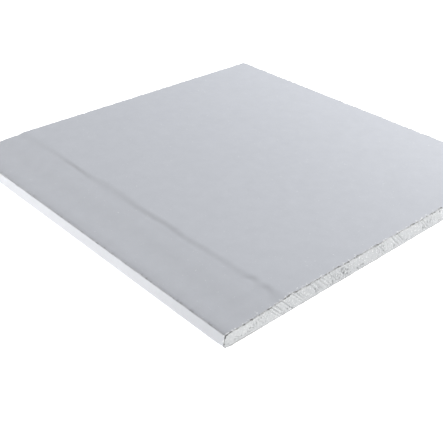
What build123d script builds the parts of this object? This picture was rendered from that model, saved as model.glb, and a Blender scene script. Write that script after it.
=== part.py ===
"""Drywall sheet: a square panel sawn from tapered-edge gypsum board, lying flat with its face up.

The board was made as one long strip, so the whole panel is a single section, drawn in the XZ plane,
carried straight along Y. One long edge, at -X, is the board's own tapered edge, where the face paper
wraps round onto the back. The other three sides are saw cuts, where the papers end flush with the core.

Frame, in millimetres: +Z up, +Y along the tapered edge, +X from the tapered edge to the sawn side.
The origin is the centre of the footprint, on the surface that the sheet lies on.
"""

import os
from math import cos, radians, tan

from build123d import *

# Sheet
SHEET_LENGTH = 300.0  # along Y, from one sawn end to the other
SHEET_WIDTH = 300.0  # along X, from the tapered edge to the sawn side
SHEET_THICKNESS = 12.5  # over the flat field, with both papers

# Tapered edge: the face falls away towards it, quickly at first, then gently, and rolls off at the shoulder
TAPER_WIDTH = 51.0  # from the edge to where the flat field begins
TAPER_DEPTH = 2.2  # drop of the face from the field to the start of the roll
STEP_WIDTH = 8.4  # the quick first part, next to the field
STEP_DEPTH = 0.65  # drop over that part
ROLL_WIDTH = 5.5  # the last part, next to the edge
ROLL_DEPTH = 0.9  # drop over that part, down to the corner that the shoulder rounds
EDGE_LEAN = 7.0  # degrees that the edge leans in as it goes up
SHOULDER_RADIUS = 2.0  # outside of the paper where the face turns down into the edge
HEEL_RADIUS = 2.8  # outside of the paper where the edge turns under

# Papers
FACE_PAPER_THICKNESS = 0.4
BACK_PAPER_THICKNESS = 0.4
FLAP_WIDTH = 25.0  # face paper turned under onto the back, measured from the edge
BACK_PAPER_SETBACK = 6.0  # strip of that flap which the back paper leaves bare

# Making
STEP_BLEND_SHARE = 0.45  # part of the step that each of its two rounded ends takes up
ROLL_BLEND_SHARE = 0.5  # part of the roll that its rounded start takes up
SAW_ALLOWANCE = 5.0  # extra width that is sawn away

EDGE_X = -SHEET_WIDTH / 2
SAWN_X = SHEET_WIDTH / 2
FIELD_X = EDGE_X + TAPER_WIDTH
FLAP_X = EDGE_X + FLAP_WIDTH
BLANK_X = SAWN_X + SAW_ALLOWANCE
FLAP_Z = BACK_PAPER_THICKNESS + FACE_PAPER_THICKNESS


def blend_radius(before, corner, after, run):
    """Radius of the arc that rounds a corner and takes up that run of the line on each side of it."""
    turn = (corner - before).get_angle(after - corner)
    return run / tan(radians(turn / 2))


def rectangle(low_x, high_x, low_z, high_z):
    """Rectangle of the section, from its four limits."""
    return Pos((low_x + high_x) / 2, (low_z + high_z) / 2) * Rectangle(high_x - low_x, high_z - low_z)


def heel_corner():
    """Corner that the heel rounds, placed so that the round bulges out exactly to the edge of the sheet."""
    lean = radians(EDGE_LEAN)
    return Vector(EDGE_X + HEEL_RADIUS * (1 - tan(lean) - 1 / cos(lean)), BACK_PAPER_THICKNESS)


def shoulder_corner():
    """Corner that the shoulder rounds, on the leaning line of the edge."""
    heel = heel_corner()
    height = SHEET_THICKNESS - TAPER_DEPTH - ROLL_DEPTH
    return Vector(heel.X + tan(radians(EDGE_LEAN)) * (height - heel.Y), height)


def wrapped_outline():
    """All that the face paper goes round, as its outer side: field, step, taper, roll, shoulder, edge, heel, flap."""
    blank_top = Vector(BLANK_X, SHEET_THICKNESS)
    field_end = Vector(FIELD_X, SHEET_THICKNESS)
    step_foot = Vector(FIELD_X - STEP_WIDTH, SHEET_THICKNESS - STEP_DEPTH)
    roll_start = Vector(EDGE_X + ROLL_WIDTH, SHEET_THICKNESS - TAPER_DEPTH)
    shoulder = shoulder_corner()
    heel = heel_corner()
    blank_bottom = Vector(BLANK_X, BACK_PAPER_THICKNESS)

    step_run = STEP_BLEND_SHARE * (field_end - step_foot).length
    roll_run = ROLL_BLEND_SHARE * (roll_start - shoulder).length
    field_blend = blend_radius(blank_top, field_end, step_foot, step_run)
    taper_blend = blend_radius(field_end, step_foot, roll_start, step_run)
    roll_blend = blend_radius(step_foot, roll_start, shoulder, roll_run)
    return make_face(
        FilletPolyline(
            blank_top, field_end, step_foot, roll_start, shoulder, heel, blank_bottom,
            radius=[0, field_blend, taper_blend, roll_blend, SHOULDER_RADIUS, HEEL_RADIUS, 0],
            close=True,
        )
    )


def face_paper_section(wrapped):
    """One sheet of even thickness that covers the face, turns round the edge and ends as the flap."""
    inner_side = offset(wrapped, amount=-FACE_PAPER_THICKNESS)
    back_without_flap = rectangle(FLAP_X, BLANK_X, BACK_PAPER_THICKNESS, FLAP_Z)
    return wrapped - inner_side - back_without_flap


def core_section(wrapped, face_paper):
    """Gypsum that fills what the face paper wraps, with a rebate where the flap lies."""
    return wrapped - face_paper


def back_paper_section():
    """Flat sheet that closes the back and laps over the flap."""
    return rectangle(EDGE_X + BACK_PAPER_SETBACK, BLANK_X, 0, BACK_PAPER_THICKNESS)


def sawn_panel(section):
    """A layer of the panel: its section sawn to the sheet's width, carried along the sheet's length."""
    kept = rectangle(EDGE_X, SAWN_X, 0, SHEET_THICKNESS)
    return extrude(Plane.XZ * (section & kept), amount=SHEET_LENGTH / 2, both=True)


def main():
    wrapped = wrapped_outline()
    face_paper = face_paper_section(wrapped)
    layers = {
        "gypsum_core": core_section(wrapped, face_paper),
        "face_paper": face_paper,
        "back_paper": back_paper_section(),
    }
    os.makedirs("parts", exist_ok=True)
    for node, section in layers.items():
        panel = sawn_panel(section)
        panel.label = node
        export_step(panel, f"parts/{node}.step")


main()
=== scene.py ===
"""Drywall sheet: the looks of a square panel sawn from tapered-edge gypsum board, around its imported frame.

Three surfaces stand for the three solids of the part: the face paper that wraps the tapered edge, the
sawn gypsum core and the back paper. Shapes are worked out in millimetres, in the part's own frame: +Z out
of the face, +Y along the tapered edge, +X from the tapered edge to the sawn side.
"""

import math

import bpy
import numpy as np
from mathutils import Matrix, Vector


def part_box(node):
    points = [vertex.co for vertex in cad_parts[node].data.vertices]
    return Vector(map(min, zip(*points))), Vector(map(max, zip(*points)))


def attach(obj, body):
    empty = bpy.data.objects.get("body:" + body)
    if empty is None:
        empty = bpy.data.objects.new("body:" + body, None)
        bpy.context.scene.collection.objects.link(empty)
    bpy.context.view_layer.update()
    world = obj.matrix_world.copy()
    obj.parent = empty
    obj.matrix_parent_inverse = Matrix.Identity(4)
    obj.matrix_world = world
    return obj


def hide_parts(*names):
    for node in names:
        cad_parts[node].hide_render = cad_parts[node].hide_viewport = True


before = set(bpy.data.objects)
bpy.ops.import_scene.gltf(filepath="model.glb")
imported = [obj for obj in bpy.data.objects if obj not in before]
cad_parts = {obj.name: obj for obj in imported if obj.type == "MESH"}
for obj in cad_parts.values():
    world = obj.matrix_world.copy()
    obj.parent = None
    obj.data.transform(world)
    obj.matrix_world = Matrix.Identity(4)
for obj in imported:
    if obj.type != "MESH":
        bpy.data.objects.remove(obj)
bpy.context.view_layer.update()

MM = 0.001


def node_box(node):
    """Lowest and highest corner of a CAD node, in millimetres."""
    low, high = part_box(node)
    return np.array(low) / MM, np.array(high) / MM


# Sizes that the frame gives
FACE_LOW, FACE_HIGH = node_box("face_paper")
_, CORE_HIGH = node_box("gypsum_core")
BACK_LOW, BACK_HIGH = node_box("back_paper")
EDGE_X, SAWN_X = FACE_LOW[0], FACE_HIGH[0]
NEAR_Y, FAR_Y = FACE_LOW[1], FACE_HIGH[1]
FACE_Z = FACE_HIGH[2]
LAP_X = BACK_LOW[0]
FLAP_Z = BACK_HIGH[2]
FACE_PAPER = FACE_HIGH[2] - CORE_HIGH[2]
BACK_PAPER = BACK_HIGH[2] - BACK_LOW[2]

# Tapered edge. The face's slope towards the edge, in degrees, is a sum of bumps, each as (middle from the
# edge, half width, degrees): the step where the taper begins, its foot and the hollow of the taper. An even
# fall is added to them, and near the edge a roll, which ends in the arc of the shoulder
STEP_BUMP = (47.4, 4.3, 9.8)
FOOT_BUMP = (42, 4.6, 2.4)
HOLLOW_BUMP = (27, 17, 3.6)
FALL_DEGREES = 0.41
ROLL_START = 6.5
ROLL_DEGREES = 11.5
SHOULDER_START = 1.7
SHOULDER_RADIUS = 0.8
HEEL_RADIUS = 2.8
HEEL_Z = 0.05
FLAP_WIDTH = 25
STEP_X = EDGE_X + STEP_BUMP[0]
FLAP_X = EDGE_X + FLAP_WIDTH

# Painted shade on the face's top along the tapered edge: beside the edge, over the taper and in patches on
# the shoulder, as (width from the edge, most of it), and the heights between which it sets in
EDGE_SHADE_WIDTHS = ((11, 0.11), (STEP_BUMP[0] - STEP_BUMP[1], 0.06), (2 * SHOULDER_START, 0.32))
EDGE_SHADE_HEIGHTS = (9.1, 9.7)

# Fineness of the meshes: numbers and spacings of columns and rows
FIELD_COLUMNS = 490
BACK_COLUMNS = 290
SLOPE_SAMPLES = 4000
TAPER_STEP = 0.6
ROLL_STEP = 0.4
WALL_COLUMNS = 6
FLAP_COLUMNS = 8
ARC_STEPS = 10
ROW_STEP = 7
DENT_STEP = 2
DENTED_LENGTH = 42
END_ROWS = (0, 1.2, 2.2, 3.6)
SIDE_COLUMNS = (4, 2.4, 1.2, 0)
SIDE_SPLIT = 10
CORE_COLUMN = 0.4
CORE_ROWS = 33
WELD = 1e-4
FLAT_SHARP, PAPER_SHARP, CORE_SHARP = 30, 40, 60

# Core inside the papers: clearances, the sliver of height that it keeps at the wrapped edge, the lip behind
# each cut, which the relief stays clear of, the spans over which two cuts and the sawn side's painted shade
# blend at a corner, and the roof's dip under the step
CORE_CLEARANCE = 0.05
BOTTOM_CLEARANCE = 0.02
CORE_SLIVER = 0.02
CLOSING_WIDTH = 1
LIP_DEPTH = 1.2
LIP_STEP = 0.005
LIP_CLEARANCE = 0.1
CORNER_FADE = 3
SIDE_SHADE_FADE = (-1, 0.5)
DIP_SPAN = (36, 61)
DIP_DEPTH = 0.6
DIP_SETBACK = 5

# Sawn edges of the papers: raggedness, bites, lifted places and the ridge of the rim, as (size, length
# along the edge), the least noise that makes a bite, the deepest tear, and the share of it on the flap
RAGGED = (0.16, 1.1)
BITE = (1.2, 2.7)
BITE_LEAST = 0.3
LIFTED = (0.3, 2.1)
RIDGE = (0.12, 1.6)
DEEPEST_TEAR = 0.95
HIDDEN_TEAR = 0.3

# Torn tags of paper along the cuts: how many to an edge, points across each, the least and most of its
# sizes, how much it narrows and thins towards its tip, and its thickness as a share of the paper's
TAGS_PER_EDGE = 115
TAG_GRID = 4
TAG_WIDTH = (0.4, 1.6)
TAG_LENGTH = (0.45, 1.2)
TAG_UNEVEN = (0.45, 1)
TAG_TURN = (0.3, 2.1)
TAG_SETBACK = (0, 0.35)
TAG_NARROWING = 0.5
TAG_THINNING = 0.6
TAG_PLY = 0.6

# Saw marks: strokes that lean as they go down, in groups along a cut, as (place, width, pitch), which fade
# out past their ends. A stroke deepens over a share of its pitch. Noise shifts it, by a share of its pitch,
# and makes it stronger or weaker, as (usual, change)
STROKE_LEAN = math.radians(44)
STROKE_DEPTH = 0.5
STROKE_RISE = 0.7
STROKE_FADE = 1.2
STROKE_SHIFT = 0.35
STROKE_STRENGTH = (0.7, 0.6)
NEAR_GROUPS = ((52, 13, 2.2), (68.5, 5, 1.8), (88, 15, 2.5), (100, 5, 1.9),
               (148, 4, 2.2), (166, 7, 2.1), (197, 7, 1.9), (231, 9, 2.3), (268, 8, 2))
FAR_GROUPS = ((31, 8, 2.1), (77, 11, 2.4), (120, 7, 1.9), (166, 12, 2.3),
              (214, 8, 2), (262, 10, 2.2))
SIDE_GROUPS = ((22, 7, 2), (58, 10, 2.4), (101, 8, 1.9), (139, 12, 2.3),
               (187, 8, 2.1), (233, 11, 2.4), (279, 6, 2))

# Crumbled places in a cut, as (place along it, height, half length, half height, depth). Their outline is
# ragged by a share of its size, and between two shares of it they fade out. Their pits follow the grain, as
# (added to it, times it)
CHIP_RAGGED = 0.4
CHIP_FADE = (0.3, 1)
CHIP_PITS = (0.2, 1.9)
NEAR_CHIPS = ((12, 3.2, 3.2, 2, 0.4), (20.5, 3.4, 4.2, 2.2, 0.4), (31.5, 2.2, 3.6, 1.4, 0.35),
              (72.5, 11, 2, 1.8, 0.4), (78.5, 4.2, 2.4, 2.8, 0.5), (91, 2.8, 3, 1.6, 0.4),
              (101, 9.6, 2.2, 2.4, 0.5), (104.5, 5.6, 3, 3.4, 0.45), (107, 2.6, 2.4, 1.6, 0.5),
              (122, 2.8, 5, 1.6, 0.3), (142.5, 9.6, 1.8, 1.8, 0.5), (156, 3.8, 2.6, 2.4, 0.5),
              (188.5, 3.8, 2.4, 2.4, 0.5), (207, 9.6, 2, 2, 0.5), (245, 5.4, 3, 2.2, 0.5),
              (281, 9.4, 2, 2, 0.4))
FAR_CHIPS = ((20, 6, 2.8, 2, 0.4), (96, 8.8, 2.4, 2.4, 0.5), (141, 3.6, 3.4, 1.8, 0.5),
             (190, 4.4, 2.6, 2.4, 0.4), (239, 7.6, 3, 2.6, 0.5))
SIDE_CHIPS = ((41, 8.6, 2.6, 2.2, 0.5), (80, 3.2, 3.4, 1.8, 0.4), (120, 4.4, 2.4, 1.8, 0.5),
              (160, 9.6, 2, 1.8, 0.4), (210, 3.6, 3.8, 2, 0.5), (257, 6, 2.8, 2.6, 0.5))

# Rest of the relief of a cut: the depths of scratches, swells and grain, a belt of pits with its depth, the
# noise between which it sets in, what is added to that noise low down and the heights over which this fades
# out, and air bubbles, as (spacing, least radius, most that is added to it, depth, share of places without
# one). Low down the relief fades to a share of it
SCRATCH_DEPTH = 0.06
SWELL_DEPTH = 0.06
GRAIN_DEPTH = 0.06
BELT_DEPTH = 0.45
BELT_NOISE = (0.2, 0.7)
BELT_ADDED = 0.4
BELT_HEIGHTS = (2, 4.5)
BUBBLES = (4.2, 0.3, 0.35, 0.22, 0.6)
LOW_HEIGHTS = (0.8, 2.2)
LOW_SHARE = 0.3

# Sizes of the noise in a cut, as (along it or across the strokes, up)
SHIFT_SIZES = (5, 40)
STRENGTH_SIZES = (3, 9)
SCRATCH_SIZES = (1.1, 16)
SWELL_SIZES = (26, 14)
GRAIN_SIZES = (0.95, 0.95)
BELT_SIZES = (13, 7)
CHIP_SIZES = (1.6, 1.6)
TONE_SIZES = (42, 24)

# Crumbling beside the papers, as (depth, length along the cut) with the least noise that makes it, its
# share along the bottom, and the distances from the wrapped edge between which it sets in
CRUMBLED = (0.4, 2.4)
CRUMBLED_LEAST = 0.1
CRUMBLED_LOW = 0.1
CRUMBLED_FROM = (2, 6)

# Seeds of the noise in the cuts and in their tone
NEAR_SEED, FAR_SEED, SIDE_SEED, TONE_SEED = 40, 60, 70, 2414

# Knocks: shallow dents along the step, as (x, y, half size along x and y, depth), the heights between which
# they set in, and the bruised heel at the near corner, as (reach along x, reach along y, reach up, rise)
DENTS = ((-102.5, -123, 3.6, 4, 0.12), (-103.5, -136, 4, 4, 0.1), (-101, -62, 4, 9, 0.07))
KNOCKED_HEIGHTS = (3, 9)
BRUISE = (5.5, 9, 4.5, 0.9)

# Line of the step: its slow wander, as (shift along x, length, seed), where it jumps aside, as (y, half
# length, shift along x), and its form along the board, as (y, times its usual width, times its usual
# height), joined by straight lines. The line is straight at the sawn ends, and the form is plain towards
# the edge
STEP_WANDERS = ((0.9, 34, 11), (0.5, 13, 12))
STEP_END_FADE = 12
STEP_FORM_FADE = (4, 36)
STEP_NICKS = ((-123, 3.6, 1.9), (-136, 3.8, 1.6), (-95, 10, 0.8), (-40, 8, 0.8),
              (20, 22, 2), (66, 12, 0.6), (95, 13, 1.1))
STEP_FORMS = ((-150, 1.7, 1), (-143, 1.7, 1), (-139.5, 1, 1), (-133, 1, 1),
              (-130.5, 1.6, 0.85), (-128.5, 1.6, 0.85), (-126.5, 0.95, 1), (-119.5, 0.95, 1),
              (-116, 1.3, 0.8), (-108, 1.1, 0.75), (-90, 1, 0.85), (-60, 0.95, 1.1),
              (-30, 0.9, 1.35), (0, 1.1, 1.3), (20, 1.5, 1.2), (45, 1.2, 1.1), (60, 0.8, 1.15),
              (64, 0.6, 1.25), (76, 0.6, 1.3), (80, 0.85, 1.1), (95, 1.1, 1.05),
              (112, 1.35, 1), (135, 1.5, 0.95), (150, 1.4, 0.9))


# Noise

NOISE_CELLS = 256


def soft_noise(u, v, size_u, size_v, seed):
    """Smooth random heights from -1 to 1 over the plane.

    Random values stand at the corners of cells of the given size, and between corners they blend by the
    smooth step 3t^2 - 2t^3 in each direction."""
    table = np.random.default_rng(seed).uniform(-1, 1, (NOISE_CELLS, NOISE_CELLS))
    cell_u, cell_v = np.broadcast_arrays(np.asarray(u) / size_u, np.asarray(v) / size_v)
    low_u = np.floor(cell_u).astype(int)
    low_v = np.floor(cell_v).astype(int)
    part_u = cell_u - low_u
    part_v = cell_v - low_v
    blend_u = part_u * part_u * (3 - 2 * part_u)
    blend_v = part_v * part_v * (3 - 2 * part_v)
    row, next_row = low_u % NOISE_CELLS, (low_u + 1) % NOISE_CELLS
    column, next_column = low_v % NOISE_CELLS, (low_v + 1) % NOISE_CELLS
    near = table[row, column] * (1 - blend_u) + table[next_row, column] * blend_u
    far = table[row, next_column] * (1 - blend_u) + table[next_row, next_column] * blend_u
    return near * (1 - blend_v) + far * blend_v


def nearest_point(u, v, cell, seed):
    """Distance to the nearest of random points, one to a square cell, and that point's number from 0 to 1.

    The nearest is the least distance over the sample's own cell and the eight cells round it."""
    random = np.random.default_rng(seed).uniform(0, 1, (3, NOISE_CELLS, NOISE_CELLS))
    u, v = np.broadcast_arrays(u, v)
    low_u = np.floor(u / cell).astype(int)
    low_v = np.floor(v / cell).astype(int)
    least = np.full(u.shape, np.inf)
    number = np.zeros(u.shape)
    for step_u in (-1, 0, 1):
        for step_v in (-1, 0, 1):
            cell_u, cell_v = low_u + step_u, low_v + step_v
            row, column = cell_u % NOISE_CELLS, cell_v % NOISE_CELLS
            point_u = (cell_u + random[0, row, column]) * cell
            point_v = (cell_v + random[1, row, column]) * cell
            distance = np.hypot(u - point_u, v - point_v)
            number = np.where(distance < least, random[2, row, column], number)
            least = np.minimum(distance, least)
    return least, number


def smooth_step(value, low, high):
    """0 below low, 1 above high, and 3t^2 - 2t^3 between."""
    share = np.clip((value - low) / (high - low), 0, 1)
    return share * share * (3 - 2 * share)


# Meshes from arrays

def grid_numbers(grid, start):
    """Vertex numbers of a grid of points, counted row by row from the start."""
    return start + np.arange(grid[..., 0].size).reshape(grid.shape[:2])


def grid_faces(index):
    """Four-sided faces between neighbouring rows and columns of a grid of vertex numbers.

    They face along the cross product of the first direction and the second."""
    corners = (index[:-1, :-1], index[1:, :-1], index[1:, 1:], index[:-1, 1:])
    return np.stack(corners, axis=-1).reshape(-1, 4)


def mesh_piece(name, points, groups, materials, sharp_degrees, attributes=None):
    """A mesh object from points in millimetres and groups of faces, each group with its material's number.

    A group is an array with one row of vertex numbers to a face. Attributes hold one number to a point.
    Edges where the faces turn by more than the sharp angle show as edges, and the rest is smooth."""
    mesh = bpy.data.meshes.new(name)
    sides = np.concatenate([np.full(len(faces), faces.shape[1]) for faces, _ in groups])
    corners = np.concatenate([faces.ravel() for faces, _ in groups])
    finish = np.concatenate([np.full(len(faces), number) for faces, number in groups])
    mesh.vertices.add(len(points))
    mesh.vertices.foreach_set("co", (points * MM).astype(np.float32).ravel())
    mesh.loops.add(len(corners))
    mesh.loops.foreach_set("vertex_index", corners.astype(np.int32))
    mesh.polygons.add(len(sides))
    mesh.polygons.foreach_set("loop_start", (np.cumsum(sides) - sides).astype(np.int32))
    mesh.polygons.foreach_set("material_index", finish.astype(np.int32))
    mesh.polygons.foreach_set("use_smooth", np.ones(len(sides), bool))
    for key, values in (attributes or {}).items():
        mesh.attributes.new(key, "FLOAT", "POINT").data.foreach_set("value", values.astype(np.float32))
    mesh.update(calc_edges=True)
    mesh.validate()
    mesh.set_sharp_from_angle(angle=math.radians(sharp_degrees))
    for material in materials:
        mesh.materials.append(material)
    piece = bpy.data.objects.new(name, mesh)
    bpy.context.scene.collection.objects.link(piece)
    return piece


# Outline of the board

def face_slope(from_edge):
    """Slope of the face down towards the tapered edge, in degrees, at distances from the edge.

    A bump is its peak times cos^2 of a quarter turn over its half width. The fall sets in at the step, and
    the roll grows as the square of the distance past its start, up to the shoulder."""
    step, step_half, _ = STEP_BUMP
    slope = FALL_DEGREES * (1 - smooth_step(from_edge, step - step_half, step + step_half))
    for middle, half, peak in (STEP_BUMP, FOOT_BUMP, HOLLOW_BUMP):
        slope = slope + peak * np.cos(np.clip((from_edge - middle) / half, -1, 1) * math.pi / 2) ** 2
    past = np.clip((ROLL_START - from_edge) / (ROLL_START - SHOULDER_START), 0, None)
    return slope + (ROLL_DEGREES - FALL_DEGREES) * past ** 2


def wrapped_line():
    """Outer side of the face paper, from the flap round to the sawn side, as points and outward normals.

    The face's height is the field's less the sum of the slope's tangent from the field to each point. The
    flap comes down from the lap to the heel by a smooth step. The heel and the shoulder are arcs, and the
    edge is the straight line that touches both: with L between their centres, it leans by the lean of the
    line of centres plus the arc sine of the difference of radii over L."""
    field = STEP_BUMP[0] + STEP_BUMP[1]
    face = np.concatenate([
        np.arange(SHOULDER_START, ROLL_START, ROLL_STEP),
        np.arange(ROLL_START, field, TAPER_STEP),
        np.linspace(field, SAWN_X - EDGE_X - SIDE_COLUMNS[0], FIELD_COLUMNS),
    ])
    dense = np.linspace(SHOULDER_START, field, SLOPE_SAMPLES)
    tangent = np.tan(np.radians(face_slope(dense)))
    drop = np.concatenate([[0], np.cumsum((tangent[1:] + tangent[:-1]) / 2 * np.diff(dense))])
    height = FACE_Z - (drop[-1] - np.interp(face, dense, drop))
    tilt = np.radians(face_slope(face))

    first = np.array([-math.sin(tilt[0]), math.cos(tilt[0])])
    shoulder_centre = np.array([EDGE_X + face[0], height[0]]) - SHOULDER_RADIUS * first
    heel_centre = np.array([EDGE_X, HEEL_Z]) + HEEL_RADIUS
    apart = shoulder_centre - heel_centre
    lean = math.atan2(*apart) + math.asin((HEEL_RADIUS - SHOULDER_RADIUS) / np.hypot(*apart))
    upright = math.pi / 2 - lean
    heel = np.linspace(math.pi, upright, ARC_STEPS + 1)
    shoulder = np.linspace(upright, tilt[0], ARC_STEPS + 1)
    wall = np.linspace(0, 1, WALL_COLUMNS + 1)[1:-1, None]
    flap = np.concatenate([np.linspace(FLAP_X, LAP_X, FLAP_COLUMNS),
                           np.linspace(LAP_X, heel_centre[0], FLAP_COLUMNS)[1:-1]])
    flap_z = FLAP_Z - (FLAP_Z - HEEL_Z) * smooth_step(LAP_X - flap, 0, LAP_X - heel_centre[0])

    tilts = np.concatenate([
        np.full(len(flap), math.pi), heel, np.full(len(wall), upright), shoulder, tilt[1:]])
    normals = np.column_stack([-np.sin(tilts), np.cos(tilts)])
    low = heel_centre + HEEL_RADIUS * normals[len(flap):len(flap) + len(heel)]
    high_start = len(flap) + len(heel) + len(wall)
    high = shoulder_centre + SHOULDER_RADIUS * normals[high_start:high_start + len(shoulder)]
    points = np.concatenate([
        np.column_stack([flap, flap_z]), low, low[-1] + wall * (high[0] - low[-1]), high,
        np.column_stack([EDGE_X + face[1:], height[1:]])])
    return points, normals


def to_sawn_side(line, normals):
    """A paper's line and normals with its last columns added, level up to the sawn side."""
    offsets = np.array(SIDE_COLUMNS[1:])
    strip = np.column_stack([SAWN_X - offsets, np.full(len(offsets), line[-1, 1])])
    return np.concatenate([line, strip]), np.concatenate([normals, np.tile((0, 1), (len(offsets), 1))])


def run_along(line):
    """Distance along a line to each of its points: the running sum of the steps between them."""
    return np.concatenate([[0], np.cumsum(np.hypot(*np.diff(line, axis=0).T))])


def paper_rows():
    """Places of a paper's rows along Y: close at the two sawn ends and among the dents, even elsewhere."""
    ends = np.array(END_ROWS)
    start, dented, stop = NEAR_Y + ends[-1], NEAR_Y + DENTED_LENGTH, FAR_Y - ends[-1]
    among = np.linspace(start, dented, 1 + round((dented - start) / DENT_STEP))
    beyond = np.linspace(dented, stop, 1 + round((stop - dented) / ROW_STEP))
    return np.concatenate([NEAR_Y + ends[:-1], among, beyond[1:], FAR_Y - ends[-2::-1]])


def step_line(y):
    """Sideways shift of the step's line along the board, in millimetres, faded out at the sawn ends.

    It is slow noise, and the nicks, each its shift times e^-u^2 with u in half lengths."""
    shift = 0
    for most, length, seed in STEP_WANDERS:
        shift = shift + most * soft_noise(y, 0, length, 1, seed)
    for middle, half, aside in STEP_NICKS:
        shift = shift + aside * np.exp(-((y - middle) / half) ** 2)
    return shift * smooth_step(np.minimum(y - NEAR_Y, FAR_Y - y), 0, STEP_END_FADE)


def step_share(place):
    """Share of the step's height that is reached at a place, in half widths from the step's middle.

    It is the running sum of a cos^2 bump: (1 + v) / 2 + sin(pi v) / (2 pi)."""
    place = np.clip(place, -1, 1)
    return (1 + place) / 2 + np.sin(math.pi * place) / (2 * math.pi)


def knocked(points):
    """The same points after the knocks, which push down what lies in the upper part of the board.

    The step takes its width and height at each place along the board, faded out towards the edge. A dent
    is its depth times e^-(u^2 + v^2), with u and v in half sizes. The bruise pushes the heel up, by its
    rise times smooth steps away from the edge, from the near end and from the table."""
    x, y, z = points[..., 0], points[..., 1], points[..., 2]
    _, half_width, degrees = STEP_BUMP
    places, widths, heights = np.transpose(STEP_FORMS)
    from_line = (x - STEP_X - step_line(y)) / half_width
    formed = np.interp(y, places, heights) * (1 - step_share(from_line / np.interp(y, places, widths)))
    change = formed - (1 - step_share(from_line))
    down = math.radians(degrees) * half_width * change * smooth_step(x - EDGE_X, *STEP_FORM_FADE)
    for middle_x, middle_y, half_x, half_y, depth in DENTS:
        down += depth * np.exp(-((x - middle_x) / half_x) ** 2 - ((y - middle_y) / half_y) ** 2)
    reach_x, reach_y, reach_up, rise = BRUISE
    beside = (1 - smooth_step(x - EDGE_X, 0, reach_x)) * (1 - smooth_step(y - NEAR_Y, 0, reach_y))
    up = rise * beside * (1 - smooth_step(z, 0, reach_up))
    moved = points.copy()
    moved[..., 2] += up - down * smooth_step(z, *KNOCKED_HEIGHTS)
    return moved


# Papers

def torn_depth(along, seed):
    """How far a sawn paper edge stands back from the cut, in millimetres along it.

    Small even raggedness, its size times 1 plus noise, and here and there a bite, where slower noise is
    above its least. Together they stop at the deepest tear."""
    ragged = RAGGED[0] * (1 + soft_noise(along, seed, RAGGED[1], 1, seed))
    bite = BITE[0] * np.clip(soft_noise(along, seed + 7, BITE[1], 1, seed) - BITE_LEAST, 0, None)
    return np.minimum(ragged + bite, DEEPEST_TEAR)


def lifted_edge(along, seed):
    """How far the saw pushed a paper's edge out of its plane: noise where it is above zero."""
    return LIFTED[0] * np.clip(soft_noise(along, seed, LIFTED[1], 1, seed), 0, None)


def step_wander(x, y):
    """Sideways shift of the face paper, in millimetres: the step line's, faded out away from the step."""
    return step_line(y) * (1 - smooth_step(np.abs(x - STEP_X), 2 * STEP_BUMP[1], 6 * STEP_BUMP[1]))


def sheet_sides(line, normals, thickness, tear, lift, wander, seed):
    """Two sides of a sheet of paper: a line in the XZ plane carried along Y, and a thickness further in.

    Along Y a side's first columns have few rows, and its last, at the sawn side, have SIDE_SPLIT times as
    many. The sawn edges are torn back and lifted. Tear, lift and wander are shares of the usual. Returns
    the points, and the vertex numbers of each side's coarse grid and fine grid."""
    strip = len(line) - len(SIDE_COLUMNS)
    rows = paper_rows()
    fine_places = np.arange(SIDE_SPLIT * (len(rows) - 1) + 1) / SIDE_SPLIT
    fine_rows = np.interp(fine_places, np.arange(len(rows)), rows)
    along_ends = run_along(line)
    exposed = smooth_step(along_ends, FLAP_WIDTH, FLAP_WIDTH + 2 * HEEL_RADIUS)
    torn_share = tear * (HIDDEN_TEAR + (1 - HIDDEN_TEAR) * exposed)
    torn = [torn_share * torn_depth(along_ends, seed + k) for k in (0, 1)]
    torn_side = tear * torn_depth(fine_rows, seed + 2)
    raised = [lift * exposed * lifted_edge(along_ends, seed + k) for k in (3, 4)]
    raised_side = lift * lifted_edge(fine_rows, seed + 5)

    def carried(columns, y, deeper):
        """Grid of the line's columns at each y, shifted in by deeper, torn and lifted at the sawn ends."""
        x = (line[columns, 0] - deeper * normals[columns, 0])[:, None] + 0 * y
        z = (line[columns, 1] - deeper * normals[columns, 1])[:, None] + 0 * y
        grid = np.stack([x + wander * step_wander(x, y), np.broadcast_to(y, x.shape), z], axis=-1)
        out = np.column_stack([normals[columns, 0], np.zeros(len(x)), normals[columns, 1]])
        for row, sign, depth, height in ((0, 1, torn[0], raised[0]), (-1, -1, torn[1], raised[1])):
            grid[:, row, 1] += sign * depth[columns]
            grid[:, row] += height[columns, None] * out
        return grid

    points, numbers, count = [], [], 0
    for deeper in (0, thickness):
        coarse = carried(np.arange(strip), rows, deeper)
        fine = carried(np.arange(strip, len(line)), fine_rows, deeper)
        fine[-1, :, 0] -= torn_side
        fine[-1, :, 2] += raised_side
        points += [coarse.reshape(-1, 3), fine.reshape(-1, 3)]
        coarse_numbers = grid_numbers(coarse, count)
        fine_numbers = grid_numbers(fine, count + coarse_numbers.size)
        numbers.append((coarse_numbers, fine_numbers))
        count += coarse_numbers.size + fine_numbers.size
    return np.concatenate(points), numbers


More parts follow.
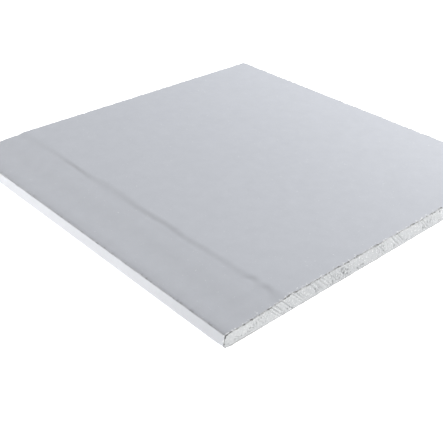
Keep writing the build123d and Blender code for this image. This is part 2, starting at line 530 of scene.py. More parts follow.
def paper_sheet(line, normals, thickness, finishes, tear, lift, wander, seed):
    """A sheet of paper as a closed shell: its two sides, and a rim with a torn ridge along its middle.

    On a side the coarse grid and the fine one meet in many-sided faces. The ridge stands out of the cuts by
    its size times 1 plus noise. The finishes are the materials' numbers of the line's own side, the other
    side and the rim. Returns the points, the groups of faces and each point's distance from the nearest
    sawn edge."""
    points, numbers = sheet_sides(line, normals, thickness, tear, lift, wander, seed)
    groups, rings = [], []
    for (coarse, fine), turn, finish in zip(numbers, (1, -1), finishes):
        starts = SIDE_SPLIT * np.arange(coarse.shape[1] - 1)
        seam = fine[0][starts[:, None] + np.arange(SIDE_SPLIT + 1)]
        joint = np.column_stack([coarse[-1, 1:], coarse[-1, :-1], seam])
        for faces in (grid_faces(coarse), grid_faces(fine), joint):
            groups.append((faces[:, ::turn], finish))
        near = np.concatenate([coarse[:, 0], fine[:, 0]])
        far = np.concatenate([coarse[:, -1], fine[:, -1]])
        side, first = fine[-1], coarse[0]
        rings.append(np.concatenate([near, side[1:], far[-2::-1], first[-2:0:-1]]))

    middle = (points[rings[0]] + points[rings[1]]) / 2
    away = np.repeat([(0, -1), (1, 0), (0, 1), (0, 0)],
                     [len(near), len(side) - 1, len(far) - 1, len(first) - 2], axis=0)
    ridge = RIDGE[0] * (1 + soft_noise(np.arange(len(middle)), seed, RIDGE[1], 1, seed + 6))
    middle[:, :2] += ridge[:, None] * away
    rim = np.stack([rings[0], len(points) + np.arange(len(middle)), rings[1]])
    rim = np.column_stack([rim, rim[:, :1]])
    groups.append((grid_faces(rim), finishes[2]))
    points = np.concatenate([points, middle])
    sawn = np.minimum(SAWN_X - points[:, 0], FAR_Y - np.abs(points[:, 1]))
    return knocked(points), groups, np.clip(sawn, 0, None)


def torn_tags(root, along, out, up, thickness, seed):
    """Closed shells of the paper tags that a saw leaves hanging from a cut edge, and their faces.

    Each tag starts at its root, with unit vectors along the edge, out of the cut and out of the board. Its
    middle is an arc: it leaves along out and turns down by an angle of its own, over a length that differs
    across its width, and it narrows and thins towards the tip."""
    random = np.random.default_rng(seed)
    count = len(root)
    width = random.uniform(*TAG_WIDTH, (count, 1, 1))
    length = random.uniform(*TAG_LENGTH, (count, 1, 1)) * random.uniform(*TAG_UNEVEN, (count, TAG_GRID, 1))
    turn = random.uniform(*TAG_TURN, (count, 1, 1))
    across = np.linspace(-0.5, 0.5, TAG_GRID)[None, :, None]
    part = np.linspace(0, 1, TAG_GRID)[None, None, :]
    steps = (width * across * (1 - TAG_NARROWING * part), length * np.sin(turn * part) / turn,
             -length * (1 - np.cos(turn * part)) / turn)
    axes = [axis[:, None, None, :] for axis in (along, out, up)]
    middle = root[:, None, None, :] + sum(step[..., None] * axis for step, axis in zip(steps, axes))
    angle = (turn * part)[..., None]
    facing = np.cos(angle) * axes[2] + np.sin(angle) * axes[1]
    half = (0.5 * thickness * (1 - TAG_THINNING * part))[..., None] * facing
    points = np.stack([middle + half, middle - half], axis=1).reshape(-1, 3)

    above = np.arange(TAG_GRID ** 2).reshape(TAG_GRID, TAG_GRID)
    below = above + TAG_GRID ** 2
    ring = np.concatenate([above[:-1, 0], above[-1, :-1], above[:0:-1, -1], above[0, :0:-1]])
    ring = np.append(ring, ring[0])
    sides = grid_faces(np.stack([ring + TAG_GRID ** 2, ring]).T)
    shell = np.concatenate([grid_faces(above), grid_faces(below)[:, ::-1], sides])
    if np.dot(np.cross(along[0], out[0]), up[0]) < 0:
        shell = shell[:, ::-1]
    return points, (shell + 2 * TAG_GRID ** 2 * np.arange(count)[:, None, None]).reshape(-1, 4)


def fringe(line, normals, thickness, seed):
    """Torn tags along a paper's three sawn edges, at random places past its flap.

    A root lies half the paper's thickness inside the line."""
    random = np.random.default_rng(seed)
    run = run_along(line)
    tags = []
    for y, side in ((NEAR_Y, -1.0), (FAR_Y, 1.0)):
        place = np.sort(random.uniform(FLAP_WIDTH, run[-1], TAGS_PER_EDGE))
        x, z = (np.interp(place, run, line[:, axis]) for axis in (0, 1))
        normal_x, normal_z = (np.interp(place, run, normals[:, axis]) for axis in (0, 1))
        flat = np.zeros(TAGS_PER_EDGE)
        up = np.column_stack([normal_x, flat, normal_z])
        along = np.column_stack([normal_z, flat, -normal_x])
        back = random.uniform(*TAG_SETBACK, TAGS_PER_EDGE)
        root = np.column_stack([x, y - side * back, z]) - 0.5 * thickness * up
        tags.append((root, along, np.tile((0, side, 0), (TAGS_PER_EDGE, 1)), up))
    place = random.uniform(NEAR_Y, FAR_Y, TAGS_PER_EDGE)
    flat = np.zeros(TAGS_PER_EDGE)
    root = np.column_stack([SAWN_X - random.uniform(*TAG_SETBACK, TAGS_PER_EDGE), place,
                            flat + line[-1, 1] - 0.5 * thickness])
    axes = ((0, 1, 0), (1, 0, 0), (0, 0, 1))
    tags.append((root, *(np.tile(axis, (TAGS_PER_EDGE, 1)) for axis in axes)))
    points, faces, count = [], [], 0
    for number, tag in enumerate(tags):
        tag_points, tag_faces = torn_tags(*tag, TAG_PLY * thickness, seed + number)
        points.append(tag_points)
        faces.append(tag_faces + count)
        count += len(tag_points)
    return knocked(np.concatenate(points)), np.concatenate(faces)


# Core

def sawn_relief(along, up, marks, lean_sign, seed):
    """How far a sawn gypsum face lies below the cutting plane, in millimetres.

    In a group of strokes each tooth left a facet: across the slanted stroke its depth grows slowly over a
    share of the pitch and comes back quickly over the rest, by smooth steps, with phase and depth shifted
    by slow noise. Between groups the cut is nearly smooth. A crumbled place, and a belt low down, have pits
    where coarse noise is above zero. Air bubbles are round pits."""
    groups, chips = marks
    across = (along + lean_sign * math.tan(STROKE_LEAN) * up) * math.cos(STROKE_LEAN)
    shifted = STROKE_SHIFT * soft_noise(across, up, *SHIFT_SIZES, seed)
    usual, change = STROKE_STRENGTH
    strength = usual + change * soft_noise(across, up, *STRENGTH_SIZES, seed + 1)
    strokes = SCRATCH_DEPTH * np.abs(soft_noise(across, up, *SCRATCH_SIZES, seed + 4))
    for place, width, pitch in groups:
        away = np.abs(across - place * math.cos(STROKE_LEAN)) - 0.5 * width * math.cos(STROKE_LEAN)
        turn = (across / pitch + shifted) % 1
        facet = smooth_step(np.minimum(turn / STROKE_RISE, (1 - turn) / (1 - STROKE_RISE)), 0, 1)
        strokes = strokes + STROKE_DEPTH * strength * (1 - smooth_step(away, 0, STROKE_FADE)) * facet
    swell = SWELL_DEPTH * (1 + soft_noise(along, up, *SWELL_SIZES, seed + 2))
    grain = soft_noise(along, up, *GRAIN_SIZES, seed + 3)
    belt = soft_noise(along, up, *BELT_SIZES, seed + 7) + BELT_ADDED * (1 - smooth_step(up, *BELT_HEIGHTS))
    pits = BELT_DEPTH * smooth_step(belt, *BELT_NOISE) * np.clip(grain, 0, None)
    relief = strokes + swell + GRAIN_DEPTH * (1 + grain) + pits
    ragged = 1 + CHIP_RAGGED * soft_noise(along, up, *CHIP_SIZES, seed + 6)
    rough = np.clip(CHIP_PITS[0] + CHIP_PITS[1] * grain, 0, None)
    for place, height, half_along, half_up, depth in chips:
        distance = np.hypot((along - place) / half_along, (up - height) / half_up) * ragged
        relief = relief + depth * (1 - smooth_step(distance, *CHIP_FADE)) * rough
    spacing, least, more, bubble_depth, without = BUBBLES
    distance, number = nearest_point(along, up, spacing, seed + 5)
    radius = least + more * number ** 2
    hollow = np.sqrt(np.clip(1 - (distance / radius) ** 2, 0, None))
    relief = relief + bubble_depth * hollow * (number > without)
    low_down = LOW_SHARE + (1 - LOW_SHARE) * smooth_step(up, *LOW_HEIGHTS)
    return np.minimum(relief, LIP_DEPTH - LIP_CLEARANCE) * low_down


def crumbled(along, seed):
    """How much of the core has crumbled away beside a paper, in millimetres along the cut.

    It is the depth times the part of the noise that is above its least."""
    return CRUMBLED[0] * np.clip(soft_noise(along, seed, CRUMBLED[1], 1, seed) - CRUMBLED_LEAST, 0, None)


def core_outline():
    """Columns across the core, and the heights of its bottom and top at each, inside the face paper.

    The columns crowd towards the tapered edge as 1 - cos of a quarter turn, so that they follow the round
    of the shoulder and the heel. The core keeps just clear of the papers, with a sliver of height at the
    edge."""
    line, normals = wrapped_line()
    inner = line - FACE_PAPER * normals
    edge = np.argmin(inner[:, 0])
    lower, upper = inner[:edge + 1][::-1], inner[edge:]
    round_width = HEEL_RADIUS - FACE_PAPER
    quarter = np.linspace(0, math.pi / 2, ARC_STEPS + 1)
    crowded = EDGE_X + FACE_PAPER + round_width * (1 - np.cos(quarter))
    even = np.linspace(crowded[-1], SAWN_X, 1 + math.ceil((SAWN_X - crowded[-1]) / CORE_COLUMN))
    columns = np.concatenate([crowded, even[1:]])
    low = np.where(columns < FLAP_X, np.interp(columns, lower[:, 0], lower[:, 1]), FLAP_Z)
    high = np.interp(columns, upper[:, 0], upper[:, 1])
    closing = smooth_step(columns - columns[0], 0, CLOSING_WIDTH)
    low = low - CORE_SLIVER + (CORE_SLIVER + BOTTOM_CLEARANCE) * closing
    high = high + CORE_SLIVER - (CORE_SLIVER + CORE_CLEARANCE) * closing
    return columns, low, high


def weld(points, groups):
    """Merges points at the same place: the numbers of the points that are left, and the faces on them."""
    keys = np.round(points / WELD).astype(np.int64)
    _, kept, number = np.unique(keys, axis=0, return_index=True, return_inverse=True)
    number = number.ravel()
    return kept, [(number[faces], finish) for faces, finish in groups]


def cut_rows(along, bottom, top, low, high, marks, lean_sign, seed):
    """Depths and heights of a sawn face: columns along the cut, and rows from its bottom line to its top.

    The relief gives the depths. A first row and a last row lie a lip behind the cut, at low and high, where
    the papers are."""
    heights = bottom[:, None] + (top - bottom)[:, None] * np.linspace(0, 1, CORE_ROWS)
    depths = sawn_relief(along[:, None], heights, marks, lean_sign, seed)
    lip = np.full(len(along), LIP_DEPTH)
    return np.column_stack([lip, depths, lip]), np.column_stack([low, heights, high])


def sawn_faces(columns, low, high):
    """The core's near end, far end and sawn side, as grids of columns along the cut and rows going up.

    A face is its cutting plane, pushed in by its depths. Its top and bottom lines drop back where the core
    crumbled beside the paper. Towards a corner the two faces take on each other's depths and lines, by
    smooth steps, so that they meet."""
    crumble = smooth_step(columns - columns[0], *CRUMBLED_FROM)
    ends, end_depths = [], []
    for y, inward, marks, seed in ((NEAR_Y, 1, (NEAR_GROUPS, NEAR_CHIPS), NEAR_SEED),
                                   (FAR_Y, -1, (FAR_GROUPS, FAR_CHIPS), FAR_SEED)):
        bottom = low + LIP_STEP + CRUMBLED_LOW * crumble * crumbled(columns, seed + 8)
        top = high - LIP_STEP - crumble * crumbled(columns, seed + 9)
        depth, z = cut_rows(columns - EDGE_X, bottom, top, low, high, marks, inward, seed)
        x = np.broadcast_to(columns[:, None], z.shape)
        ends.append(np.stack([x, y + inward * depth, z], axis=-1))
        end_depths.append(depth)

    rows = np.linspace(NEAR_Y, FAR_Y, len(columns))
    bottom = low[-1] + LIP_STEP + CRUMBLED_LOW * crumbled(rows, SIDE_SEED + 8)
    top = high[-1] - LIP_STEP - crumbled(rows, SIDE_SEED + 9)
    blend = smooth_step(np.minimum(rows - NEAR_Y, FAR_Y - rows), 0, CORNER_FADE)
    for line, row in ((bottom, 1), (top, -2)):
        corner = np.where(rows < 0, ends[0][-1, row, 2], ends[1][-1, row, 2])
        line[:] = corner + blend * (line - corner)
    level_low, level_high = np.full(len(rows), low[-1]), np.full(len(rows), high[-1])
    side_depth, z = cut_rows(rows - NEAR_Y, bottom, top, level_low, level_high,
                             (SIDE_GROUPS, SIDE_CHIPS), 1, SIDE_SEED)
    side = np.stack([SAWN_X - side_depth, np.broadcast_to(rows[:, None], z.shape), z], axis=-1)

    fade = (1 - smooth_step(SAWN_X - columns, 0, CORNER_FADE))[:, None]
    for end, depth, side_row, inward in zip(ends, end_depths, (0, -1), (1, -1)):
        end[..., 0] -= fade * side_depth[side_row]
        away = (1 - smooth_step(np.abs(rows - rows[side_row]), 0, CORNER_FADE))[:, None]
        side[..., 1] += inward * away * depth[-1]
    near, far = ends
    return near, far, side


def core_surface():
    """The closed skin of the core: its three sawn faces, joined by long strips under the papers.

    Inside the board the roof dips below the step, clear of the dents there. Returns the points, the groups
    of faces, and each point's attributes: its depths below its cutting plane and below the face paper, a
    slow change of tone along the cuts, and the sawn side, which is painted greyer as shade against the
    strong light on it."""
    columns, low, high = core_outline()
    near, far, side = sawn_faces(columns, low, high)
    inside = np.array([0, DIP_SETBACK, 0])

    def across(near_line, far_line):
        """Four rows from a line of the near face to the far face's, the middle two set back inside."""
        return np.stack([near_line, near_line + inside, far_line - inside, far_line], axis=1)

    seam = np.searchsorted(columns, SAWN_X - 2 * CORNER_FADE)
    roof = across(near[:seam + 1, -1], far[:seam + 1, -1])
    from_edge = (columns[:seam + 1] - EDGE_X)[:, None]
    dip_start, dip_end = DIP_SPAN
    dip = smooth_step(from_edge, dip_start, dip_start + DIP_SETBACK)
    dip_over = smooth_step(from_edge, dip_end - DIP_SETBACK, dip_end)
    roof[:, 1:3, 2] -= DIP_DEPTH * dip * (1 - dip_over)
    ground = across(near[:seam + 1, 0], far[:seam + 1, 0])[:, ::-1]
    edge = np.swapaxes(across(near[0], far[0]), 0, 1)[::-1]
    patches = [near, far[::-1], side, edge, roof, ground]
    points, groups, count = [], [], 0
    for patch in patches:
        points.append(patch.reshape(-1, 3))
        numbers = grid_numbers(patch, count)
        groups.append((grid_faces(numbers), 0))
        count += numbers.size
    for row, turn in ((-1, 1), (0, -1)):
        rim = np.concatenate([near[seam:, row], side[1:-1, row], far[seam:, row][::-1],
                              [far[seam, row] - inside, near[seam, row] + inside]])
        points.append(rim)
        groups.append((count + np.arange(len(rim))[None, ::turn], 0))
        count += len(rim)
    points = np.concatenate(points)
    kept, groups = weld(points, groups)
    points = points[kept]
    from_side, from_end = SAWN_X - points[:, 0], FAR_Y - np.abs(points[:, 1])
    along = points[:, 0] - EDGE_X + points[:, 1] - NEAR_Y
    return knocked(points), groups, {
        "from_saw": np.minimum(from_side, from_end),
        "below_paper": np.interp(points[:, 0], columns, high) - points[:, 2],
        "tone": soft_noise(along, points[:, 2], *TONE_SIZES, TONE_SEED),
        "older_cut": smooth_step(from_end - from_side, *SIDE_SHADE_FADE)}


# Materials

def linear(code):
    """Linear colour with full alpha from an sRGB hex value."""
    srgb = np.array([int(code[i:i + 2], 16) for i in (1, 3, 5)]) / 255
    rgb = np.where(srgb <= 0.04045, srgb / 12.92, ((srgb + 0.055) / 1.055) ** 2.4)
    return (*rgb, 1.0)


def per_metre(size):
    """Scale of a pattern whose features are that many millimetres across, on coordinates in metres."""
    return 1 / (size * MM)


def add_node(tree, kind, inputs, **settings):
    """Adds a node, sets its properties, and sets or links its input sockets, by name or number.

    A node that is given as an input is linked by its first output in use."""
    node = tree.nodes.new("ShaderNode" + kind)
    for key, value in settings.items():
        setattr(node, key, value)
    for key, value in inputs.items():
        if isinstance(value, bpy.types.Node):
            value = next(socket for socket in value.outputs if socket.enabled)
        if isinstance(value, bpy.types.NodeSocket):
            tree.links.new(value, node.inputs[key])
        else:
            node.inputs[key].default_value = value
    return node


def new_material(name):
    """An empty material, its node tree, and the socket that gives the piece's own coordinates."""
    material = bpy.data.materials.new(name)
    material.use_nodes = True
    material.node_tree.nodes.clear()
    place = add_node(material.node_tree, "TexCoord", {}).outputs["Object"]
    return material, material.node_tree, place


def finish_material(material, inputs):
    """Gives the material a shader with these inputs, links it to the output, and returns the material."""
    shader = add_node(material.node_tree, "BsdfPrincipled", inputs)
    add_node(material.node_tree, "OutputMaterial", {"Surface": shader})
    return material


def laid_over(tree, under, code, value, span, shares):
    """A colour laid over another, at a share that follows a value.

    As the value goes from one end of the span to the other, the share goes from the first to the second."""
    share = add_node(tree, "MapRange", {
        "Value": value, "From Min": span[0], "From Max": span[1], "To Min": shares[0], "To Max": shares[1]})
    return add_node(tree, "Mix", {"Factor": share, "A": under, "B": linear(code)}, data_type="RGBA")


def calendered_face_paper():
    """Grey face paper of gypsum board, pressed smooth between rollers.

    To the eye it is matt and even, a cool light grey, with faint clouds where the pulp settled, fine fibres
    along the board, a few dark specks, and saw dust beside the cuts. Painted shade darkens its top beside
    the tapered edge, over the taper and in patches on the shoulder."""
    material, tree, place = new_material("calendered_face_paper")
    clouds = add_node(tree, "TexNoise", {
        "Vector": place, "Scale": per_metre(9.0), "Detail": 3.0, "Roughness": 0.55})
    # Fibres are about 0.03 mm wide and 2 mm long; drawn ten times as wide, so that they show
    stretched = add_node(tree, "Mapping", {
        "Vector": place, "Scale": (per_metre(0.3), per_metre(2.0), per_metre(0.3))})
    fibres = add_node(tree, "TexNoise", {"Vector": stretched, "Scale": 1.0, "Detail": 2.0})
    tone = add_node(tree, "Mix", {
        "Factor": clouds, "A": linear("#c0c3ca"), "B": linear("#c9ccd3")}, data_type="RGBA")
    fibrous = laid_over(tree, tone, "#b3b6bc", fibres, (0.35, 0.75), (0.0, 0.16))
    specks = add_node(tree, "TexVoronoi", {"Vector": place, "Scale": per_metre(7.0)})
    speckled = laid_over(tree, fibrous, "#8d8f96", specks, (0.02, 0.035), (0.5, 0.0))
    where = add_node(tree, "SeparateXYZ", {"Vector": place})
    # Painted shade: the top darkens beside the tapered edge, over the taper and in patches on the shoulder,
    # where the face turns away from the lights
    near_edge, on_taper, at_shoulder = (
        add_node(tree, "MapRange", {
            "Value": where.outputs["X"], "From Min": (EDGE_X + SHOULDER_START) * MM,
            "From Max": (EDGE_X + width) * MM, "To Min": share, "To Max": 0.0})
        for width, share in EDGE_SHADE_WIDTHS)
    above_edge = add_node(tree, "MapRange", {
        "Value": where.outputs["Z"], "From Min": EDGE_SHADE_HEIGHTS[0] * MM,
        "From Max": EDGE_SHADE_HEIGHTS[1] * MM})
    blotches = add_node(tree, "TexNoise", {"Vector": place, "Scale": per_metre(12.0), "Detail": 2.0})
    blotch_amount = add_node(tree, "MapRange", {
        "Value": blotches, "From Min": 0.3, "From Max": 0.7, "To Min": 0.6, "To Max": 1.4})
    rubbed_dust_and_edge_shade = add_node(tree, "Math", {0: near_edge, 1: on_taper}, operation="ADD")
    top_edge_shade = add_node(tree, "Math", {0: rubbed_dust_and_edge_shade, 1: above_edge}, operation="MULTIPLY")
    edge_shade = add_node(tree, "Math", {0: top_edge_shade, 1: blotch_amount}, operation="MULTIPLY")
    shoulder_shade_patches = add_node(tree, "TexNoise", {"Vector": place, "Scale": per_metre(3.6), "Detail": 2.0})
    shoulder_shade_mask = add_node(tree, "MapRange", {"Value": shoulder_shade_patches, "From Min": 0.54, "From Max": 0.62})
    shoulder_shade = add_node(tree, "Math", {0: at_shoulder, 1: shoulder_shade_mask}, operation="MULTIPLY")
    painted_edge_shade = add_node(tree, "Math", {0: shoulder_shade, 1: above_edge, 2: edge_shade}, operation="MULTIPLY_ADD")
    # Painted shade along the tapered edge, mixed over the paper's tone
    edge_shaded = add_node(tree, "Mix", {
        "Factor": painted_edge_shade, "A": speckled, "B": linear("#85868a")}, data_type="RGBA")
    sawn = add_node(tree, "Attribute", {}, attribute_name="from_saw").outputs["Fac"]
    near_saw = add_node(tree, "MapRange", {
        "Value": sawn, "From Min": 0.0, "From Max": 3.5, "To Min": 0.2, "To Max": 0.0})
    dust = add_node(tree, "TexNoise", {"Vector": place, "Scale": per_metre(1.5), "Detail": 3.0})
    dust_here = add_node(tree, "Math", {0: near_saw, 1: dust}, operation="ADD")
    dusty = laid_over(tree, edge_shaded, "#e8eaec", dust_here, (0.7, 0.76), (0.0, 0.85))
    roughness = add_node(tree, "MapRange", {"Value": fibres, "To Min": 0.7, "To Max": 0.86})
    bump = add_node(tree, "Bump", {"Height": fibres, "Strength": 0.35, "Distance": 0.03 * MM})
    return finish_material(material, {
        "Base Color": dusty, "Roughness": roughness, "IOR": 1.47, "Normal": bump})


def sawn_paper_ply(name, dark, pale, clean):
    """Raw edge of board paper, cut by a saw through its grey recycled plies.

    To the eye it is a dark grey line, furry and dull, broken where white plaster is rubbed into it. The
    share that stays clean is given. The wrapped edge stays clean and is painted far darker, its dark ply
    with painted shade, near black low down as a painted contact shadow by the table. Elsewhere near the
    table dust covers nearly all."""
    material, tree, place = new_material(name)
    plies = add_node(tree, "TexNoise", {"Vector": place, "Scale": per_metre(0.8), "Detail": 3.0})
    tone = add_node(tree, "Mix", {
        "Factor": plies, "A": linear(dark), "B": linear(pale)}, data_type="RGBA")
    rubbed_dust_and_edge_shade = add_node(tree, "TexNoise", {"Vector": place, "Scale": per_metre(2.4), "Detail": 3.0})
    where = add_node(tree, "SeparateXYZ", {"Vector": place})
    low = add_node(tree, "MapRange", {
        "Value": where.outputs["Z"], "From Min": 0.9 * MM, "From Max": 1.6 * MM, "To Min": 0.38,
        "To Max": 0.16})
    past_heel = add_node(tree, "MapRange", {
        "Value": where.outputs["X"], "From Min": (EDGE_X + HEEL_RADIUS) * MM,
        "From Max": (EDGE_X + 3 * HEEL_RADIUS) * MM})
    dusted_low = add_node(tree, "Math", {0: low, 1: past_heel, 2: rubbed_dust_and_edge_shade}, operation="MULTIPLY_ADD")
    rubbed_mask = add_node(tree, "MapRange", {
        "Value": dusted_low, "From Min": clean, "From Max": clean + 0.08, "To Min": 0.0, "To Max": 0.8})
    dust_amount = add_node(tree, "Math", {0: rubbed_mask, 1: past_heel}, operation="MULTIPLY")
    # Painted shade at the wrapped edge: a near black tone low down, a painted contact shadow by the table,
    # and dark grey higher up
    up_edge = add_node(tree, "MapRange", {
        "Value": where.outputs["Z"], "From Min": HEEL_RADIUS * MM, "From Max": 3 * HEEL_RADIUS * MM})
    wrapped_edge_shade_tone = add_node(tree, "Mix", {
        "Factor": up_edge, "A": linear("#1d1d1c"), "B": linear("#454543")}, data_type="RGBA")
    clean_tone = add_node(tree, "Mix", {"Factor": past_heel, "A": wrapped_edge_shade_tone, "B": tone}, data_type="RGBA")
    dusted = add_node(tree, "Mix", {
        "Factor": dust_amount, "A": clean_tone, "B": linear("#d5d6d6")}, data_type="RGBA")
    bump = add_node(tree, "Bump", {"Height": plies, "Strength": 0.5, "Distance": 0.1 * MM})
    return finish_material(material, {
        "Base Color": dusted, "Roughness": 0.95, "IOR": 1.47, "Normal": bump})


def sawn_gypsum():
    """Foamed gypsum plaster, cut by a coarse saw.

    To the eye it is chalky off-white and quite without shine, speckled by bright crumbs and by tiny bubbles
    that are painted dark as their shade, with painted shade in the bottoms of the saw strokes and pits, and
    with grey paper fibres dragged over it below the face paper, darkened there also by painted shade under
    the paper's edge. The sawn side is painted greyer all over, as shade against the strong light on it."""
    material, tree, place = new_material("sawn_gypsum")
    patches = add_node(tree, "TexNoise", {"Vector": place, "Scale": per_metre(14.0), "Detail": 3.0})
    slow = add_node(tree, "Attribute", {}, attribute_name="tone").outputs["Fac"]
    patchy = add_node(tree, "Math", {0: slow, 1: 0.35, 2: patches}, operation="MULTIPLY_ADD")
    tone = add_node(tree, "Mix", {
        "Factor": patchy, "A": linear("#c6c8ca"), "B": linear("#d8dadb")}, data_type="RGBA")
    # Painted shade: darker where the cut lies deeper below its plane, in the bottoms of saw strokes and in
    # pits
    depth = add_node(tree, "Attribute", {}, attribute_name="from_saw").outputs["Fac"]
    shaded = laid_over(tree, tone, "#b4b6b8", depth, (0.2, 0.8), (0.0, 0.5))
    crumbs = add_node(tree, "TexNoise", {"Vector": place, "Scale": per_metre(1.1), "Detail": 2.0})
    crumbly = laid_over(tree, shaded, "#eeefef", crumbs, (0.6, 0.66), (0.0, 0.95))
    # Bubbles of foamed gypsum are 0.1 to 0.5 mm across; drawn at their largest, so that they show. Their
    # dark dots are painted shade inside the open pores
    bubbles = add_node(tree, "TexVoronoi", {"Vector": place, "Scale": per_metre(1.1)})
    pore_shaded = laid_over(tree, crumbly, "#a4a7a8", bubbles, (0.1, 0.18), (0.5, 0.0))
    # Below the face paper: grey fibres dragged by the saw, and with them painted shade under the paper's
    # edge
    below = add_node(tree, "Attribute", {}, attribute_name="below_paper").outputs["Fac"]
    fibres_and_shade_under_paper = add_node(tree, "MapRange", {
        "Value": below, "From Min": 0.2, "From Max": 0.6, "To Min": 0.26, "To Max": 0.0})
    fibres = add_node(tree, "TexNoise", {"Vector": place, "Scale": per_metre(2.6), "Detail": 3.0})
    fibre_gaps = add_node(tree, "MapRange", {"Value": fibres, "From Min": 0.44, "From Max": 0.54})
    fibre_and_shade_amount = add_node(tree, "Math", {0: fibres_and_shade_under_paper, 1: fibre_gaps}, operation="MULTIPLY")
    fibrous = add_node(tree, "Mix", {
        "Factor": fibre_and_shade_amount, "A": pore_shaded, "B": linear("#75726b")}, data_type="RGBA")
    # Painted shade: the sawn side is multiplied greyer, to hold back the strong light that falls on it
    side_shade_amount = add_node(tree, "Attribute", {}, attribute_name="older_cut").outputs["Fac"]
    side_shaded = add_node(tree, "Mix", {
        "Factor": side_shade_amount, "A": fibrous, "B": linear("#c1c1bf")}, data_type="RGBA", blend_type="MULTIPLY")
    powder = add_node(tree, "TexNoise", {"Vector": place, "Scale": per_metre(0.4), "Detail": 4.0})
    bump = add_node(tree, "Bump", {"Height": powder, "Strength": 0.6, "Distance": 0.12 * MM})
    return finish_material(material, {
        "Base Color": side_shaded, "Roughness": 0.95, "IOR": 1.52, "Normal": bump})


def recycled_back_paper():
    """Back paper of gypsum board, uncoated and made from old cardboard.

    To the eye it is a dull grey-brown, with coarse clouds, dark fibres lying all ways, and no shine."""
    material, tree, place = new_material("recycled_back_paper")
    clouds = add_node(tree, "TexNoise", {"Vector": place, "Scale": per_metre(8.0), "Detail": 4.0})
    tone = add_node(tree, "Mix", {
        "Factor": clouds, "A": linear("#a2988a"), "B": linear("#b4aa9b")}, data_type="RGBA")
    # Fibres drawn about five times their real width, so that they show
    fibres = add_node(tree, "TexNoise", {
        "Vector": place, "Scale": per_metre(0.9), "Detail": 4.0, "Distortion": 1.5})
    fibrous = laid_over(tree, tone, "#8a7f70", fibres, (0.55, 0.7), (0.0, 0.6))
    bump = add_node(tree, "Bump", {"Height": fibres, "Strength": 0.4, "Distance": 0.05 * MM})
    return finish_material(material, {
        "Base Color": fibrous, "Roughness": 0.92, "IOR": 1.47, "Normal": bump})


# Stage

# Table: half its width, the height of its rim, how far it lies below the board, and its glow. The sky is
# the dim light of the surroundings
FLOOR_HALF = 6000
FLOOR_RIM = 500
FLOOR_DROP = 0.05
TABLE_GLOW = 0.72
SKY = 0.02

# Camera: its place and aim, its roll, and its lens on a sensor of this width
CAMERA_PLACE = (-383.25, -400.30, 297.08)
CAMERA_AIM = (-71.62, -61.67, 12.5)
CAMERA_ROLL = math.radians(0.914)
CAMERA_LENS = 64.445
CAMERA_SENSOR = 36

# Soft boxes, as (name, place, aim, width, height, watts, colour)
BOARD_MIDDLE = (0, 0, 5)
SOFT_BOXES = (
    ("front_right_soft_box", (1364, -787, 1104), BOARD_MIDDLE, 684, 684, 34.6, "#ffffff"),
    ("right_soft_box", (1226, 328, 592), BOARD_MIDDLE, 500, 500, 14, "#ffffff"),
    ("back_left_soft_box", (-634, 1099, 592), BOARD_MIDDLE, 500, 500, 6.2, "#ffffff"),
    ("edge_strip", (-350, 112, 28), (-150, 112, 8), 600, 40, 0.62, "#fffcf5"),
)


def white_table():
    """White acrylic table lit from below, which shows as plain white and lights the board's edges."""
    material, *_ = new_material("white_table")
    return finish_material(material, {
        "Base Color": linear("#f2f2f2"), "Roughness": 0.9, "Emission Color": linear("#ffffff"),
        "Emission Strength": TABLE_GLOW})


def aimed(place, aim, roll=0.0):
    """Matrix that stands at a place, in millimetres, and looks along -Z at the aim, with Y upwards."""
    start, end = Vector(place) * MM, Vector(aim) * MM
    turn = (end - start).to_track_quat("-Z", "Y").to_matrix().to_4x4()
    return Matrix.Translation(start) @ turn @ Matrix.Rotation(roll, 4, "Z")


def soft_light(name, place, aim, width, height, watts, colour):
    """A rectangular soft box, sizes in millimetres."""
    light = bpy.data.lights.new(name, "AREA")
    light.shape = "RECTANGLE"
    light.size = width * MM
    light.size_y = height * MM
    light.energy = watts
    light.color = linear(colour)[:3]
    lamp = bpy.data.objects.new(name, light)
    lamp.matrix_world = aimed(place, aim)
    bpy.context.scene.collection.objects.link(lamp)


def build_stage():
    """White table, soft boxes, dim surroundings and the camera.

    The table is a square, and far off it slopes up to a rim, so that low views end on it."""
    corners = FLOOR_HALF * np.array([[-1, -1], [1, -1], [1, 1], [-1, 1]])
    points = np.concatenate([np.column_stack([corners, np.full(4, -FLOOR_DROP)]),
                             np.column_stack([2 * corners, np.full(4, FLOOR_RIM)])])
    inner = np.arange(4)
    following = np.roll(inner, -1)
    rim = np.column_stack([inner + 4, following + 4, following, inner])
    floor = mesh_piece("floor", points, [(inner[None], 0), (rim, 0)], [white_table()], FLAT_SHARP)

    for box in SOFT_BOXES:
        soft_light(*box)

    world = bpy.data.worlds.new("studio")
    world.use_nodes = True
    background = world.node_tree.nodes["Background"]
    background.inputs["Color"].default_value = linear("#f6f8ff")
    background.inputs["Strength"].default_value = SKY
    bpy.context.scene.world = world
    bpy.context.scene.view_settings.view_transform = "Standard"

    lens = bpy.data.cameras.new("camera")
    lens.lens = CAMERA_LENS
    lens.sensor_width = CAMERA_SENSOR
    camera = bpy.data.objects.new("camera", lens)
    camera.matrix_world = aimed(CAMERA_PLACE, CAMERA_AIM, CAMERA_ROLL)
    bpy.context.scene.collection.objects.link(camera)
    bpy.context.scene.camera = camera


# Assembly

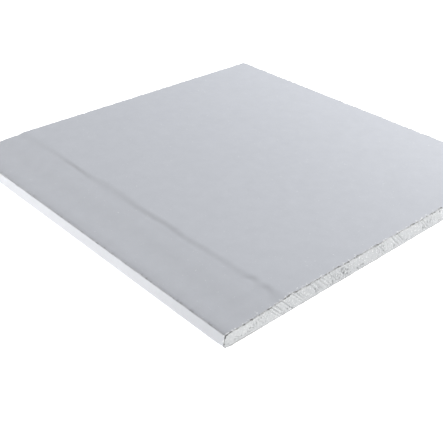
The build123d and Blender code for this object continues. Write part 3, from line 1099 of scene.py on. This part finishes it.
def place_piece(node, slot, *shape):
    """Makes a piece that stands for a CAD node and rides on the one body. The slot is not used."""
    piece = mesh_piece(*shape)
    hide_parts(node)
    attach(piece, "root")


def build_face_paper():
    """The face paper: field, taper and wrapped edge in one sheet, with torn tags along its cuts."""
    line, normals = to_sawn_side(*wrapped_line())
    points, groups, from_saw = paper_sheet(
        line, normals, FACE_PAPER, finishes=(0, 1, 1), tear=1, lift=1, wander=1, seed=100)
    tag_points, tag_faces = fringe(line, normals, FACE_PAPER, seed=120)
    groups.append((tag_faces + len(points), 2))
    points = np.concatenate([points, tag_points])
    from_saw = np.concatenate([from_saw, np.zeros(len(tag_points))])
    raw_edge = sawn_paper_ply("sawn_face_ply", dark="#6f706e", pale="#abacaa", clean=0.53)
    torn_edge = sawn_paper_ply("torn_face_ply", dark="#6c6d6a", pale="#a2a3a0", clean=0.66)
    finishes = [calendered_face_paper(), raw_edge, torn_edge]
    place_piece("face_paper", "face_paper", "wrapped_face_paper", points, groups, finishes, PAPER_SHARP,
                {"from_saw": from_saw})


def build_back_paper():
    """The back paper: a flat sheet, which laps over the flap of the face paper."""
    x = np.linspace(LAP_X, SAWN_X - SIDE_COLUMNS[0], BACK_COLUMNS + 1)
    flat = np.column_stack([x, np.full(len(x), BACK_PAPER)])
    line, normals = to_sawn_side(flat, np.tile((0, 1), (len(x), 1)))
    points, groups, from_saw = paper_sheet(
        line, normals, BACK_PAPER, finishes=(1, 0, 1), tear=0.3, lift=0, wander=0, seed=200)
    raw_edge = sawn_paper_ply("sawn_back_ply", dark="#787774", pale="#a09f9c", clean=0.72)
    finishes = [recycled_back_paper(), raw_edge]
    place_piece("back_paper", "back_paper", "lapped_back_paper", points, groups, finishes, PAPER_SHARP,
                {"from_saw": from_saw})


def build_core():
    """The gypsum core, with its three sawn faces."""
    points, groups, attributes = core_surface()
    place_piece("gypsum_core", "gypsum", "sawn_gypsum_core", points, groups, [sawn_gypsum()], CORE_SHARP,
                attributes)


build_face_paper()
build_back_paper()
build_core()
build_stage()
